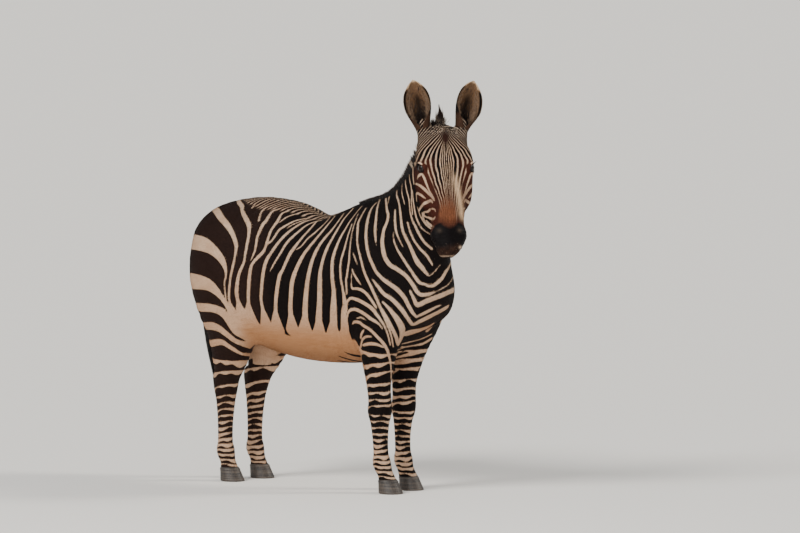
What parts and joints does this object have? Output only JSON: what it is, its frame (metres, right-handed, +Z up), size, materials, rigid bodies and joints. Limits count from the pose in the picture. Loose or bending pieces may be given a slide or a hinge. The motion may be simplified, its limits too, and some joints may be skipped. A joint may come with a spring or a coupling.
{
  "type": "zebra",
  "caption": "Life-size mountain zebra standing square on its hooves, head turned to its right, with upright mane and hanging tail: a still model for display.",
  "frame": {"origin": "on the floor, under the middle of the animal's bounding box", "axes": "+X towards the chest, +Y to the animal's left, +Z up"},
  "size_m": [1.5795, 0.5048, 1.7972],
  "materials": {
    "coat": "short striped fur",
    "hair": "coarse mane and tail hair",
    "horn": "worn black horn",
    "eyeball": "wet and dark"
  },
  "bodies": {
    "root": {"torso": "coat", "neck": "coat", "head": "coat", "ear_left": "coat", "ear_right": "coat", "eye_left": "eyeball", "eye_right": "eyeball", "leg_front_left": "coat", "leg_front_right": "coat", "leg_hind_left": "coat", "leg_hind_right": "coat", "hoof_front_left": "horn", "hoof_front_right": "horn", "hoof_hind_left": "horn", "hoof_hind_right": "horn", "tail": "hair"}
  },
  "joints": []
}
